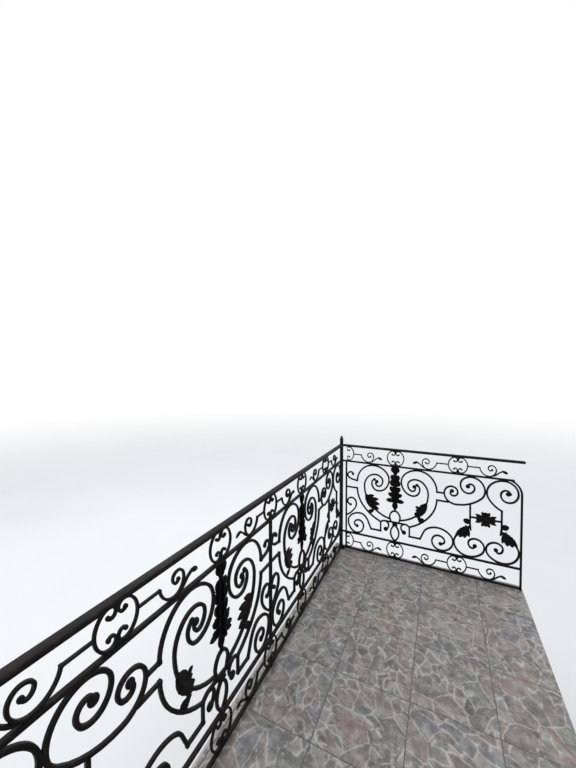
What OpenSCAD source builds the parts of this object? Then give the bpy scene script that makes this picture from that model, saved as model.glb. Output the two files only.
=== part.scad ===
// Iron balcony: a tiled slab on iron brackets, fenced on its three free sides by
// forged railings. Each railing panel is scrollwork between an upper and a lower
// rail, with a narrow frieze of rings and curls above it and another below it.
// X runs along the wall, the wall is the plane Y = 0, the street lies at -Y, Z is up.
// The origin is on the slab's back face, where the balcony meets the wall.

/* [Overall size] */
// Length of half a railing section, from its middle post to its end stile
half_w = 1410; // [1400:1:1470]
// Distance from a main post to the end stile beside it, in the front railing
stile_gap = 30; // [26:1:80]
// Distance from a corner post to the stile beside it, in a side railing
side_gap = 50; // [28:1:80]
// Distance from the wall to the middle of the wall stile
wall_gap = 16; // [9:1:60]
// How far the slab runs past the railing
slab_lip = 85; // [50:1:160]
// Thickness of the slab
slab_t = 140; // [100:1:200]
// Thickness of the tile layer
tile_t = 15; // [8:1:30]

/* [Rails] */
// Height of the handrail's top above the floor
rail_top = 1030; // [1028:1:1080]
// Width of the handrail
hand_w = 38; // [28:1:60]
// Thickness of the handrail
hand_t = 18; // [12:1:24]
// Height of the upper rail's middle above the floor
upper_z = 869; // [866:1:890]
// Height of the lower rail's middle above the floor
lower_z = 170; // [165:1:172]
// Height of the bottom rail's middle above the floor
bottom_z = 15; // [15:1:30]
// Width of the bar used for the rails, the middle posts and the stiles
bar = 14; // [12:1:15]
// Depth of that bar, from the street side to the floor side
bar_d = 18; // [16:1:22]

/* [Posts] */
// Side of the square main posts
post_w = 28; // [22:1:34]
// How far a main post stands above the handrail
post_rise = 62; // [40:1:90]
// Side of the square foot plate of a main post
foot_w = 66; // [50:1:90]
// Thickness of the foot plates
foot_t = 6; // [4:1:7]

/* [Scrollwork] */
// Thickness of a scroll bar, seen from the front
scroll_w = 14; // [10:0.5:15]
// Depth of a scroll bar, from the street side to the floor side
scroll_d = 16; // [10:1:16]
// Thickness of a frieze bar, seen from the front
frieze_w = 9; // [6:0.5:10]
// Depth of a frieze bar
frieze_d = 13; // [8:1:16]
// Thickness of the forged leaves
leaf_t = 6; // [3:0.5:9]

/* [Brackets] */
// Depth of a bracket, from the wall outward
bracket_d = 1180; // [800:1:1350]
// Height of a bracket's wall plate
bracket_h = 460; // [360:1:600]
// Width of a bracket's wall plate and flanges
bracket_w = 90; // [70:1:140]
// Thickness of a bracket's plates
plate_t = 14; // [10:1:20]
// Diameter of the bolt holes in a bracket's wall plate
bolt_d = 18; // [12:1:22]
// Height between the bolt holes
bolt_h = 300; // [200:1:340]

/* [Hidden] */
$fn = 48;

// length of one railing section, and of the whole front from corner post to corner post
section_w = 2 * (half_w + stile_gap);
front_w = 2 * section_w;
// the railing plane, the slab's outline and the floor level
rail_y = -(wall_gap + half_w + side_gap);
slab_w = front_w + 2 * slab_lip;
slab_d = -rail_y + slab_lip;
floor_z = slab_t / 2 + tile_t;
// clear heights of the main panel and of the two friezes, above the floor
panel_lo = lower_z + bar / 2;
panel_hi = upper_z - bar / 2;
top_lo = upper_z + bar / 2;
top_hi = rail_top - hand_t;
bot_lo = bottom_z + bar / 2;
bot_hi = lower_z - bar / 2;
nose_r = 18;
// gap between two rails that meet at a corner without a post between them
seam = 0.3;
// how much thinner a straight lead-in is than the scroll that it is welded into
lead_step = 0.2;
iron = [0.12, 0.12, 0.13];
// a wall stile bends over into the upper rail: the bend's radius and the height it starts at
bend_r = 120;
bend_z = 757;
// how far the upper rail stops short of the wall stile, and the scroll stays inside the bend
rail_short = 50;
bend_room = 22;

// Arcs and scrolls

function snap(v, step) = round(v / step) * step;

// where an arc of radius 1 ends, from heading a to heading b
function arc_step(a, b) =
    let (s = b > a ? 1 : -1)
    [s * (sin(b) - sin(a)), s * (cos(a) - cos(b))];

// the two radii that lead from way point p to way point q, turning all the way
function two_radii(p, q) =
    let (m = (p[2] + q[2]) / 2,
         a = arc_step(p[2], m),
         b = arc_step(m, q[2]),
         det = a[0] * b[1] - a[1] * b[0],
         dx = q[0] - p[0],
         dy = q[1] - p[1])
    [snap((dx * b[1] - dy * b[0]) / det, 0.01), snap((a[0] * dy - a[1] * dx) / det, 0.01)];

// the centre of an arc of radius r that passes way point p, turning left (s = 1) or right (s = -1)
function centre_at(p, r, s) = [p[0] - s * r * sin(p[2]), p[1] + s * r * cos(p[2])];

// the part of a ring of flat bar between way points p and q, cut square to the axes at both
module arc_bar(c, r, p, q, w) {
    across_p = abs(cos(p[2])) > abs(sin(p[2])) + 0.001;
    across_q = abs(cos(q[2])) > abs(sin(q[2])) + 0.001;
    x = [min(p[0], q[0]) - w, max(p[0], q[0]) + w];
    y = [min(p[1], q[1]) - w, max(p[1], q[1]) + w];
    x0 = across_p && cos(p[2]) > 0 ? p[0] : across_q && cos(q[2]) < 0 ? q[0] : x[0];
    x1 = across_p && cos(p[2]) < 0 ? p[0] : across_q && cos(q[2]) > 0 ? q[0] : x[1];
    y0 = !across_p && sin(p[2]) > 0 ? p[1] : !across_q && sin(q[2]) < 0 ? q[1] : y[0];
    y1 = !across_p && sin(p[2]) < 0 ? p[1] : !across_q && sin(q[2]) > 0 ? q[1] : y[1];
    intersection() {
        translate(c)
            difference() {
                circle(r = r + w / 2);
                circle(r = r - w / 2);
            }
        translate([x0, y0])
            square([x1 - x0, y1 - y0]);
    }
}

// a straight bar from p to q, run on by e at both ends
module straight(p, q, w = scroll_w, e = 0) {
    d = q - p;
    translate([p[0], p[1]])
        rotate(atan2(d[1], d[0]))
            translate([-e, -w / 2])
                square([norm(d) + 2 * e, w]);
}

// one stretch of a bar between way points p and q: one arc where it fits, or else two
module stretch(p, q, w) {
    s = q[2] > p[2] ? 1 : -1;
    r = two_radii(p, q);
    m = (p[2] + q[2]) / 2;
    e = arc_step(p[2], m) * r[0];
    mid = [snap(p[0] + e[0], 0.1), snap(p[1] + e[1], 0.1), m];
    if (abs(r[0] - r[1]) < 0.05 && abs(q[2] - p[2]) <= 90)
        arc_bar(centre_at(q, r[1], s), r[1], p, q, w);
    else {
        arc_bar(centre_at(p, r[0], s), r[0], p, mid, w);
        arc_bar(centre_at(q, r[1], s), r[1], mid, q, w);
    }
}

// a bar bent through way points [x, y, heading], with a snub end where knob > 0
module scroll(points, w = scroll_w, knob = 0) {
    for (i = [0 : len(points) - 2])
        stretch(points[i], points[i + 1], w);
    if (knob > 0) {
        e = points[len(points) - 1];
        translate([e[0], e[1]])
            circle(r = knob);
    }
}

// the square elbow where a bar is set at right angles
module elbow(x, y, w = scroll_w) {
    translate([x - w / 2, y - w / 2])
        square([w, w]);
}

// the weld where two bars touch side by side
module weld(x, y, w, h) {
    translate([x - w / 2, y - h / 2])
        square([w, h]);
}

// a copy to the other side of the line x = c
module mirrored(c) {
    children();
    translate([2 * c, 0])
        mirror([1, 0])
            children();
}

// The main panel: x from the middle post or the corner stile, y above the floor

stem_x = 456;
bloom_x = 1168;
step_y = 689;
jog_y = 618;
foot_y = 247;
// where a bar's middle runs when it is let into a rail, a stile or its twin by the bite
bite = 0.5;
scroll_hi = panel_hi - scroll_w / 2 + bite;
scroll_lo = panel_lo + scroll_w / 2 - bite;
post_touch = bar / 2 + scroll_w / 2 - bite;
stile_touch = half_w - post_touch;
bloom_touch = scroll_w / 2 - bite;

// the hooked scroll, the large scroll in it and the stepped bar outside, beside the stem
module stem_side() {
    elbow(108, step_y);
    scroll([[108, step_y, 90], [262, scroll_hi, 0], [402, 735, -90], [304, 621, -180],
        [246, 686, -270], [270, 724, -350]], knob = 12);
    scroll([[412, 376, 168], [177, 652, 90], [280, 772, 0], [346, 716, -90],
        [308, 664, -180], [282, 692, -270], [292, 706, -340]], knob = 15);
    elbow(108, jog_y);
    scroll([[108, jog_y, -88], [330, 333, -22]]);
    elbow(330, 333);
    straight([330, 333], [330, foot_y]);
    elbow(330, foot_y);
    straight([330, foot_y], [240, foot_y]);
    elbow(240, foot_y);
    scroll([[330, 333, 40], [366, 350, 0], [402, 314, -90], [376, 274, -180]], knob = 15);
}

// what ties the stem's scrolls to the post on one side
module post_side() {
    straight([108, step_y], [62, step_y + 8], scroll_w - lead_step, 1);
    scroll([[62, step_y + 8, 172], [post_touch, 732, 90], [46, 766, 0], [66, 748, -90]], knob = 11);
    straight([4, jog_y], [108, jog_y]);
    scroll([[4, 338, 30], [100, 462, 90], [56, 516, 180], [post_touch, 478, 270],
        [44, 446, 360]], knob = 11);
    straight([240, foot_y], [212, 316], scroll_w - lead_step, 1);
    scroll([[212, 316, 112], [136, 378, 180], [22, 284, 270], [102, scroll_lo, 360],
        [170, 258, 450], [124, 308, 540], [82, 272, 630], [108, 248, 720]], knob = 14);
}

// what ties them to the scrolls beyond, on the other side
module far_side() {
    straight([2 * stem_x - 108, step_y], [863, step_y]);
    straight([2 * stem_x - 108, jog_y], [896, jog_y]);
    straight([2 * stem_x - 240, foot_y], [702, 318], scroll_w - lead_step, 1);
    scroll([[702, 318, 65], [810, 376, 0], [932, 276, -90], [838, scroll_lo, -180],
        [768, 254, -270], [820, 310, -360], [868, 268, -450], [836, 240, -540]], knob = 15);
    weld(939, 278, 14, 22);
}

// what the stem stands on: an arch over a collar, and an oval on the lower rail
module stem_foot() {
    scroll([[410, 394, 90], [stem_x, 456, 0], [2 * stem_x - 410, 394, -90]]);
    straight([410, 394], [424, 346], scroll_w, 2);
    straight([2 * stem_x - 410, 394], [2 * stem_x - 424, 346], scroll_w, 2);
    straight([366, 350], [2 * stem_x - 366, 350]);
    scroll([[stem_x, 320, 180], [stem_x - 36, 252, 270], [stem_x, scroll_lo, 360],
        [stem_x + 36, 252, 450], [stem_x, 320, 540]]);
    weld(stem_x, 339, 46, 44);
}

// the uneven double scroll, large towards the bloom, small towards the stem
module double_scroll() {
    scroll([[950, 607, 0], [bloom_x - bloom_touch, 748, 90], [1062, scroll_hi, 180],
        [983, 785, 270], [1040, 716, 360], [1087, 764, 450], [1058, 796, 540], [1038, 774, 630]], knob = 16);
    scroll([[950, 607, 180], [861, 695, 90], [918, 757, 0], [964, 714, -90],
        [932, 678, -180], [908, 700, -270], [920, 718, -330]], knob = 15);
    weld(bloom_x, 746, 16, 24);
}

// the scrolls beside the end stile, the upper one reaching to x = reach
module end_scrolls(reach) {
    scroll([[bloom_x + bloom_touch, 745, 90], [1290, scroll_hi, 0], [reach, 757, -90],
        [1322, 684, -180], [1270, 738, -270], [1306, 780, -360], [1332, 756, -450]], knob = 12);
    translate([1318, 752])
        circle(r = 16);
    scroll([[bloom_x + bloom_touch, 745, -90], [1277, 610, -28]]);
    elbow(1279, 609);
}

// one of the two lower scrolls below the bloom, with its upright reaching up to height hi
module bloom_side(hi) {
    straight([1279, hi], [1279, 434]);
    scroll([[1290, scroll_lo, 180], [bloom_x + bloom_touch, 275, 90], [1240, 342, 0], [1290, 298, -90],
        [1262, 260, -180], [1242, 282, -270]], knob = 15);
    scroll([[1290, scroll_lo, 0], [stile_touch, 290, 90], [1279, 436, 150]]);
}

module panel_bars(reach) {
    mirrored(stem_x)
        stem_side();
    stem_foot();
    post_side();
    far_side();
    double_scroll();
    end_scrolls(reach);
    bloom_side(609);
    translate([2 * bloom_x, 0])
        mirror([1, 0])
            bloom_side(628);
    straight([2 * bloom_x - 1279, 521], [1279, 521], scroll_w - 3);
    weld(bloom_x, 274, 16, 24);
}

// Leaves, as flat forged lobes

// one lobe: a drop with a round base and a blunt tip
module lobe(x, y, a, l, w) {
    translate([x, y])
        rotate(a)
            intersection() {
                translate([0, (w * w - l * l) / (4 * w)])
                    circle(r = (w * w + l * l) / (4 * w));
                translate([0, (l * l - w * w) / (4 * w)])
                    circle(r = (w * w + l * l) / (4 * w));
            }
}

// a leaf that clasps the large scroll, lobes towards the inside of the scroll
module scroll_leaf() {
    lobe(228, 506, -60, 168, 66);
    lobe(228, 556, 14, 84, 40);
    lobe(264, 538, 6, 92, 44);
    lobe(276, 500, -4, 84, 44);
    lobe(272, 456, -16, 84, 48);
    lobe(238, 416, -150, 52, 30);
}

// the leaves in the plane of the panel on the stem
module stem_leaves() {
    lobe(stem_x, 806, 90, 150, 76);
    lobe(stem_x, 716, 90, 170, 100);
    lobe(stem_x, 590, 90, 190, 96);
    lobe(stem_x, 510, 90, 110, 46);
    for (s = [-1, 1]) {
        lobe(stem_x + s * 20, 830, 90 - s * 24, 72, 40);
        lobe(stem_x + s * 22, 776, 90 - s * 20, 74, 40);
        lobe(stem_x + s * 24, 712, 90 - s * 24, 76, 42);
        lobe(stem_x + s * 26, 650, 90 - s * 34, 78, 42);
        lobe(stem_x + s * 34, 592, 90 - s * 80, 72, 42);
        lobe(stem_x + s * 42, 551, 90 - s * 96, 76, 40);
        lobe(stem_x + s * 14, 520, 90 + s * 14, 72, 30);
    }
}

// the bloom between the two upright bars
module bloom() {
    for (a = [0 : 36 : 324])
        lobe(bloom_x + 34 * cos(a), 521 + 30 * sin(a), a, 68, 32);
    translate([bloom_x, 521])
        circle(r = 30);
}

// leaves where the upright bars turn into the lower scrolls
module end_leaves() {
    lobe(1334, 391, -42, 150, 46);
    lobe(1296, 412, -62, 96, 46);
    lobe(1302, 386, -100, 84, 42);
    lobe(1334, 368, -84, 72, 38);
    lobe(1305, 482, 4, 48, 30);
}

module panel_leaves() {
    mirrored(stem_x)
        scroll_leaf();
    stem_leaves();
    bloom();
    mirrored(bloom_x)
        end_leaves();
}

// half a section of scrollwork, seen flat, between its rails and uprights
module half_panel(reach = stile_touch) {
    x0 = bar / 2;
    x1 = half_w - bar / 2;
    rotate([90, 0, 0])
        translate([0, 0, -scroll_d / 2])
            linear_extrude(scroll_d)
                intersection() {
                    panel_bars(reach);
                    translate([x0, panel_lo])
                        square([x1 - x0, panel_hi - panel_lo]);
                }
    rotate([90, 0, 0])
        translate([0, 0, -leaf_t / 2])
            linear_extrude(leaf_t)
                intersection() {
                    panel_leaves();
                    translate([x0, panel_lo])
                        square([x1 - x0, panel_hi - panel_lo]);
                }
    // the stem's upright bar, and its leaves across the panel
    translate([stem_x - bar / 2, -bar / 2, 450])
        cube([bar, bar, panel_hi - 450]);
    translate([stem_x, 0, 0])
        rotate([90, 0, 90])
            translate([-stem_x, 0, -leaf_t / 2])
                linear_extrude(leaf_t)
                    intersection() {
                        stem_leaves();
                        translate([stem_x - 30, panel_lo])
                            square([60, panel_hi - panel_lo]);
                    }
}

// Friezes

// a ring of two scrolls whose ends curl in at top and bottom, between heights lo and hi
module frieze_ring(x, lo, hi) {
    c = (lo + hi) / 2;
    h = (hi - lo) / 2 - frieze_w / 2 + bite;
    mirrored(x)
        for (s = [-1, 1])
            scroll([[x - 72, c, s * 90], [x - 24, c + s * h, 0], [x - 4, c + s * (h - 20), -s * 90],
                [x - 19, c + s * (h - 37), -s * 180], [x - 29, c + s * (h - 30), -s * 270]], frieze_w, 7.5);
    weld(x, lo + 11, 16, 23);
    weld(x, hi - 11, 16, 23);
}

// a curl at x whose stepped bar reaches the ring at xr, with its leaf on the other side
module frieze_curl(x, xr, lo) {
    foot = frieze_w / 2 - bite;
    translate([x, lo])
        mirror([xr > x ? 1 : 0, 0]) {
            straight([72 - abs(xr - x), 67], [-72, 67], frieze_w);
            elbow(-72, 67, frieze_w);
            scroll([[-72, 67, -80], [-4, foot, 0], [44, 58, 90], [14, 94, 180],
                [-12, 72, 270], [4, 50, 360], [16, 60, 440]], frieze_w, 8);
            scroll([[22, 10, 15], [56, 34, 50], [92, 56, 20]], frieze_w);
            lobe(102, 50, -25, 42, 20);
        }
}

// half a section of frieze between heights lo and hi, seen flat
module frieze_shape(lo, hi) {
    frieze_ring(0, lo, hi);
    frieze_curl(217, 0, lo);
    frieze_ring(458, lo, hi);
    frieze_curl(728, 962, lo);
    frieze_ring(962, lo, hi);
    frieze_curl(1193, 962, lo);
}

// a frieze standing up, cut to the window from x0 to x1
module frieze_plate(lo, hi, x0, x1) {
    rotate([90, 0, 0])
        translate([0, 0, -frieze_d / 2])
            linear_extrude(frieze_d)
                intersection() {
                    children();
                    translate([x0, lo])
                        square([x1 - x0, hi - lo]);
                }
}

// Placing on the three sides

// the two halves of front section n, -1 left or 1 right; s = -1 gives the half towards -X
module on_front(n, s) {
    translate([n * section_w / 2, rail_y, floor_z])
        mirror([s < 0 ? 1 : 0, 0, 0])
            children();
}

// a side railing, x measured from its corner stile towards the wall; s = -1 left, 1 right
module on_side(s) {
    translate([s * front_w / 2, rail_y + side_gap, floor_z])
        rotate(90)
            children();
}

// a straight rail on each of the three sides, between the main posts and up to the wall
// or, on the sides, to where it stops short of the wall
module three_rails(z, w, t, short = 0) {
    for (n = [-1, 1])
        translate([n * section_w / 2 - section_w / 2 + post_w / 2, rail_y - w / 2, floor_z + z - t / 2])
            cube([section_w - post_w, w, t]);
    side_start = rail_y + max(post_w, w) / 2 + (w > post_w ? seam : 0);
    for (s = [-1, 1])
        translate([s * front_w / 2 - w / 2, side_start, floor_z + z - t / 2])
            cube([w, -side_start - short, t]);
}

module main_post(x) {
    h = rail_top + post_rise;
    translate([x, rail_y, floor_z]) {
        translate([-foot_w / 2, -foot_w / 2, 0])
            cube([foot_w, foot_w, foot_t]);
        translate([-post_w / 2, -post_w / 2, 0])
            cube([post_w, post_w, h - 12]);
        translate([-post_w / 2 - 3, -post_w / 2 - 3, h - 12])
            cube([post_w + 6, post_w + 6, 5]);
        translate([0, 0, h - 7])
            cylinder(h = 3, r = 8);
        translate([0, 0, h + 6])
            sphere(r = 12);
    }
}

// Nodes

module floor_slab() {
    color([0.75, 0.73, 0.70])
        translate([-slab_w / 2 + nose_r, -slab_d + nose_r, -slab_t / 2])
            cube([slab_w - 2 * nose_r, slab_d - nose_r, slab_t]);
}

module nosing_profile() {
    translate([0, -slab_t / 2])
        square([nose_r, slab_t]);
}

module slab_nosing() {
    color([0.80, 0.78, 0.74])
        difference() {
            translate([-slab_w / 2, -slab_d, -slab_t / 2])
                cube([slab_w, slab_d, slab_t]);
            translate([-slab_w / 2 + nose_r, -slab_d + nose_r, -slab_t])
                cube([slab_w - 2 * nose_r, slab_d, 2 * slab_t]);
        }
}

module tile_floor() {
    color([0.62, 0.57, 0.53])
        translate([-slab_w / 2 + nose_r, -slab_d + nose_r, slab_t / 2])
            cube([slab_w - 2 * nose_r, slab_d - nose_r, tile_t]);
}

bracket_pitch = (slab_w - 500) / 4;

// the web between wall plate and arm, hollowed out below; x runs from the wall outward
module bracket_web() {
    tip = [bracket_d - 60, -plate_t - 60];
    middle = [bracket_d * 0.72, -bracket_h * 2.6];
    difference() {
        translate([plate_t, -bracket_h * 0.92])
            square([bracket_d - plate_t - 60, bracket_h * 0.92 - plate_t]);
        translate(middle)
            circle(r = norm(tip - middle), $fn = 120);
    }
}

module bracket(i) {
    color(iron)
        translate([i * bracket_pitch, 0, -slab_t / 2]) {
            difference() {
                translate([-bracket_w / 2, -plate_t, -bracket_h])
                    cube([bracket_w, plate_t, bracket_h]);
                for (x = [-1, 1])
                    for (z = [-1, 1])
                        translate([x * bracket_w / 4, 1, -bracket_h / 2 + z * bolt_h / 2])
                            rotate([90, 0, 0])
                                cylinder(h = plate_t + 2, d = bolt_d);
            }
            translate([-bracket_w / 2, -bracket_d, -plate_t])
                cube([bracket_w, bracket_d - plate_t, plate_t]);
            rotate([90, 0, -90])
                translate([0, 0, -plate_t / 2])
                    linear_extrude(plate_t)
                        bracket_web();
        }
}

module bracket_1() { bracket(-2); }
module bracket_2() { bracket(-1); }
module bracket_3() { bracket(0); }
module bracket_4() { bracket(1); }
module bracket_5() { bracket(2); }

module handrail() {
    color(iron)
        three_rails(rail_top - hand_t / 2, hand_w, hand_t);
}

module upper_rail() {
    color(iron)
        three_rails(upper_z, bar_d, bar, wall_gap + rail_short);
}

module lower_rail() {
    color(iron)
        three_rails(lower_z, bar_d, bar, wall_gap + bar / 2);
}

module bottom_rail() {
    color(iron)
        three_rails(bottom_z, bar_d, bar, wall_gap + bar / 2);
}

module corner_post_left() {
    color(iron)
        main_post(-front_w / 2);
}

module centre_post() {
    color(iron)
        main_post(0);
}

module corner_post_right() {
    color(iron)
        main_post(front_w / 2);
}

// an upright between two rails
module upright(lo, hi) {
    translate([-bar / 2, -bar_d / 2, lo])
        cube([bar, bar_d, hi - lo]);
}

// the wall stile, running past the ends of the lower rails and bent over into the upper rail
module wall_stile() {
    rotate([90, 0, 0])
        translate([0, 0, -bar_d / 2])
            linear_extrude(bar_d) {
                translate([half_w - bar / 2, 0])
                    square([bar, bend_z]);
                intersection() {
                    arc_bar([half_w - bend_r, bend_z], bend_r, [half_w, bend_z, 90],
                        [half_w - bend_r, bend_z + bend_r, 180], bar);
                    translate([half_w - bend_r, bend_z - 1])
                        square([bend_r + bar, panel_hi - bend_z + 1]);
                }
            }
}

module mid_posts() {
    color(iron)
        for (n = [-1, 1])
            on_front(n, 1) {
                upright(panel_lo, panel_hi);
                upright(0, bottom_z - bar / 2);
            }
}

module front_stiles() {
    color(iron)
        for (n = [-1, 1])
            for (s = [-1, 1])
                on_front(n, s)
                    translate([half_w, 0, 0]) {
                        upright(panel_lo, panel_hi);
                        upright(bot_lo, bot_hi);
                    }
}

module side_stiles(s) {
    color(iron)
        on_side(s) {
            upright(panel_lo, panel_hi);
            upright(bot_lo, bot_hi);
            wall_stile();
        }
}

module side_stiles_left() { side_stiles(-1); }
module side_stiles_right() { side_stiles(1); }

module front_panel_1() { color(iron) on_front(-1, -1) half_panel(); }
module front_panel_2() { color(iron) on_front(-1, 1) half_panel(); }
module front_panel_3() { color(iron) on_front(1, -1) half_panel(); }
module front_panel_4() { color(iron) on_front(1, 1) half_panel(); }
module side_panel_left() { color(iron) on_side(-1) half_panel(half_w - bend_room); }
module side_panel_right() { color(iron) on_side(1) half_panel(half_w - bend_room); }

module frieze_front(n, lo, hi) {
    color(iron)
        on_front(n, 1)
            frieze_plate(lo, hi, bar / 2 - half_w, half_w - bar / 2)
                mirrored(0)
                    frieze_shape(lo, hi);
}

module frieze_side(s, lo, hi) {
    color(iron)
        on_side(s)
            frieze_plate(lo, hi, bar / 2, half_w - bar / 2)
                frieze_shape(lo, hi);
}

module top_frieze_front_left() { frieze_front(-1, top_lo, top_hi); }
module top_frieze_front_right() { frieze_front(1, top_lo, top_hi); }
module top_frieze_side_left() { frieze_side(-1, top_lo, top_hi); }
module top_frieze_side_right() { frieze_side(1, top_lo, top_hi); }
module bottom_frieze_front_left() { frieze_front(-1, bot_lo, bot_hi); }
module bottom_frieze_front_right() { frieze_front(1, bot_lo, bot_hi); }
module bottom_frieze_side_left() { frieze_side(-1, bot_lo, bot_hi); }
module bottom_frieze_side_right() { frieze_side(1, bot_lo, bot_hi); }

floor_slab();
slab_nosing();
tile_floor();
bracket_1();
bracket_2();
bracket_3();
bracket_4();
bracket_5();
handrail();
upper_rail();
lower_rail();
bottom_rail();
corner_post_left();
centre_post();
corner_post_right();
mid_posts();
front_stiles();
side_stiles_left();
side_stiles_right();
front_panel_1();
front_panel_2();
front_panel_3();
front_panel_4();
side_panel_left();
side_panel_right();
top_frieze_front_left();
top_frieze_front_right();
top_frieze_side_left();
top_frieze_side_right();
bottom_frieze_front_left();
bottom_frieze_front_right();
bottom_frieze_side_left();
bottom_frieze_side_right();
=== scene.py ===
# %% [markdown]
# # An iron balcony, forged step by step
#
# The carcass of this balcony (its slab, posts, rails and the flat layout of the scrollwork) comes
# packed from the construction model. Here it gets what a drawing can't give: bars with worn
# round edges, leaves that are hollowed and veined, black paint that has weathered, and a floor
# of printed stone tiles.

# %%
import math
import random

import bmesh
import bpy
from mathutils import Matrix, Vector


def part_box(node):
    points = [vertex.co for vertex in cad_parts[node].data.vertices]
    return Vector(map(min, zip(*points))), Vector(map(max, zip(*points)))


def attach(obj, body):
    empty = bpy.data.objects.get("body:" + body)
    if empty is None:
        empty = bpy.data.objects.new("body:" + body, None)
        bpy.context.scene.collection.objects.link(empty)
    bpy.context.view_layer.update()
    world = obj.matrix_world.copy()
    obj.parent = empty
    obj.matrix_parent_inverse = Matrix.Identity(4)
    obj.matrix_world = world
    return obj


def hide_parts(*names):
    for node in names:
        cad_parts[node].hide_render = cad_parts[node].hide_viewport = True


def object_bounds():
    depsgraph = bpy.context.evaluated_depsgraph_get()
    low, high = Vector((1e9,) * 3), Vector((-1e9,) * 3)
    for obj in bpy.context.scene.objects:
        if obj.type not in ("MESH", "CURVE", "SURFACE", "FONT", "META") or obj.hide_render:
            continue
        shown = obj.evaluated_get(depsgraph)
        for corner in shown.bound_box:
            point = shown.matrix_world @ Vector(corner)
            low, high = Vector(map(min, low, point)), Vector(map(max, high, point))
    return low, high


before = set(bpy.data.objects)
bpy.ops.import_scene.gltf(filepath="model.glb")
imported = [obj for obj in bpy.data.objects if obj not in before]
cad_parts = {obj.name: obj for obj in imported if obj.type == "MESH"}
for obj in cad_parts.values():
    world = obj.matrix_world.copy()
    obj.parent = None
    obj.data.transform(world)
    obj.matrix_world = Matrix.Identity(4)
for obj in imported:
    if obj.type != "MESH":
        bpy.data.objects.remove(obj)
cad_lo, cad_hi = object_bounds()
random.seed(7)
MM = 0.001
print("carcass from", [round(v, 3) for v in cad_lo], "to", [round(v, 3) for v in cad_hi])

# %% [markdown]
# ## Where things are
#
# X runs along the wall, the wall is the plane Y = 0 and the street lies at -Y. A smith counts
# heights from the finished floor, so the way points below do that too, in millimetres. Two
# sections of railing meet at the centre post, so a section is as long as the way to a corner.

# %%
floor_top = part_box("tile_floor")[1][2]
post_lo, post_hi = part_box("centre_post")
rail_plane = (post_lo[1] + post_hi[1]) / 2
corner_lo, corner_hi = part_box("corner_post_right")
corner_x = (corner_lo[0] + corner_hi[0]) / 2
section = corner_x
print("railing plane", round(rail_plane, 4), "floor", round(floor_top, 4), "corner post", round(corner_x, 4))

# %% [markdown]
# ## Camera
#
# The camera stands on the balcony at eye height, close to the railing, and looks along it with a
# wide lens held upright. It comes first, so that each piece can be judged as it is made.

# %%
def put_in_scene(name, data):
    thing = bpy.data.objects.new(name, data)
    bpy.context.scene.collection.objects.link(thing)
    return thing


EYE_ALONG, EYE_FROM_RAILING, EYE_HEIGHT = 0.1488, 0.886, 1.699
camera_data = bpy.data.cameras.new("camera")
camera_data.sensor_width = 36.0
camera_data.lens = 14.87
camera_data.clip_start = 0.02
camera = put_in_scene("camera", camera_data)
camera.location = (EYE_ALONG, rail_plane + EYE_FROM_RAILING, floor_top + EYE_HEIGHT)
turn = math.radians(25.95)
dip = math.radians(-1.438)
look = Vector((-math.cos(turn) * math.cos(dip), -math.sin(turn) * math.cos(dip), math.sin(dip)))
camera.rotation_euler = look.to_track_quat("-Z", "Y").to_euler()
bpy.context.scene.camera = camera
print("camera at", tuple(round(v, 3) for v in camera.location))

# %% [markdown]
# ## Paints and stone
#
# A finish is a small network of nodes, wired from a pattern to the shader. A new material gives
# the nodes and the shader, add makes one more node with its settings, wire joins two sockets,
# and own_place is where a point lies on its piece. A socket knows its own network, so the later
# helpers only need the one they start at.

# %%
def new_finish(name):
    finish = bpy.data.materials.new(name)
    finish.use_nodes = True
    nodes = finish.node_tree.nodes
    print("finish:", name)
    return finish, nodes, nodes["Principled BSDF"]


def add(nodes, kind, inputs=None, **settings):
    node = nodes.new("ShaderNode" + kind)
    for key, value in settings.items():
        setattr(node, key, value)
    for key, value in (inputs or {}).items():
        node.inputs[key].default_value = value
    return node


def wire(source, socket):
    socket.id_data.links.new(source, socket)


def own_place(nodes):
    return add(nodes, "TexCoord").outputs["Object"]


# %% [markdown]
# ### Patterns
#
# Nearly all finishes begin with a noise, which is clouds, dust or grit, depending on its scale. A
# ramp turns it into colours, and a map range picks a band of it and stretches that.

# %%
def noise(where, scale, detail, roughness=0.5):
    node = add(where.id_data.nodes, "TexNoise",
               {"Scale": scale, "Detail": detail, "Roughness": roughness})
    wire(where, node.inputs["Vector"])
    return node.outputs["Fac"]


def ramp(source, stops, kind="LINEAR"):
    node = add(source.id_data.nodes, "ValToRGB")
    elements = node.color_ramp.elements
    while len(elements) < len(stops):
        elements.new(0.5)
    for element, (place, colour) in zip(elements, stops):
        element.position = place
        element.color = (*colour, 1.0)
    node.color_ramp.interpolation = kind
    wire(source, node.inputs["Fac"])
    return node.outputs["Color"]


def between(source, lo, hi, to_lo, to_hi, kind="LINEAR"):
    node = add(source.id_data.nodes, "MapRange",
               {"From Min": lo, "From Max": hi, "To Min": to_lo, "To Max": to_hi}, interpolation_type=kind)
    wire(source, node.inputs["Value"])
    return node.outputs["Result"]


# %% [markdown]
# ### Putting patterns together
#
# Two masks are multiplied where both must agree, and colours and shaders are mixed by a mask. A
# coat sets what every finish has: colour, roughness and the small unevenness of its surface.

# %%
def product(one, other):
    node = add(one.id_data.nodes, "Math", operation="MULTIPLY")
    wire(one, node.inputs[0])
    wire(other, node.inputs[1])
    return node.outputs["Value"]


def blend_colours(amount, one, other):
    node = add(amount.id_data.nodes, "Mix", data_type="RGBA")
    wire(amount, node.inputs["Factor"])
    for socket, colour in (("A", one), ("B", other)):
        if isinstance(colour, tuple):
            node.inputs[socket].default_value = (*colour, 1.0)
        else:
            wire(colour, node.inputs[socket])
    return node.outputs["Result"]


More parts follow.
